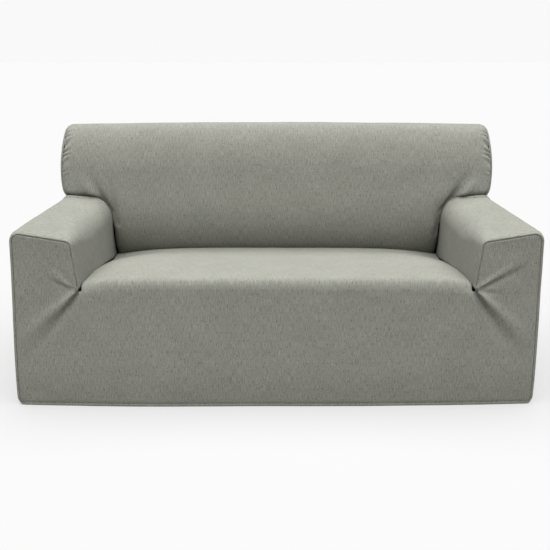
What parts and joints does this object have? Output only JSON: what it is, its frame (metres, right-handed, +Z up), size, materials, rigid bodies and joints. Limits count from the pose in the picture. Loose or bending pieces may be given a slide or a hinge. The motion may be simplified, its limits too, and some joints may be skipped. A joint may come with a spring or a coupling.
{
  "type": "sofa slipcover",
  "caption": "Fitted stretch cover for a two-seat sofa: a hollow, seamed cloth shell over the seat, arms and backrest, hemmed at the floor.",
  "frame": {"origin": "the spot on the underside of the cloth at the middle of the backrest's top, where the sofa carries the cover", "axes": "+X to the right along the width as seen from the front, +Y from the front to the back, +Z up"},
  "size_m": [1.7346, 0.8959, 0.856],
  "materials": {
    "back_cloth": "heathered grey-green stretch cloth, grain running down the backrest",
    "seat_cloth": "heathered grey-green stretch cloth, grain running over the seat and down the front",
    "arm_cloth": "heathered grey-green stretch cloth, grain running round the arm",
    "gusset_cloth": "heathered grey-green stretch cloth, gathered along its front seam",
    "rear_cloth": "heathered grey-green stretch cloth, grain running down"
  },
  "bodies": {
    "root": {"inside_back": "back_cloth", "seat_front": "seat_cloth", "arm_wrap_left": "arm_cloth", "arm_wrap_right": "arm_cloth", "back_gusset_left": "gusset_cloth", "back_gusset_right": "gusset_cloth", "outside_back": "rear_cloth"}
  },
  "joints": []
}
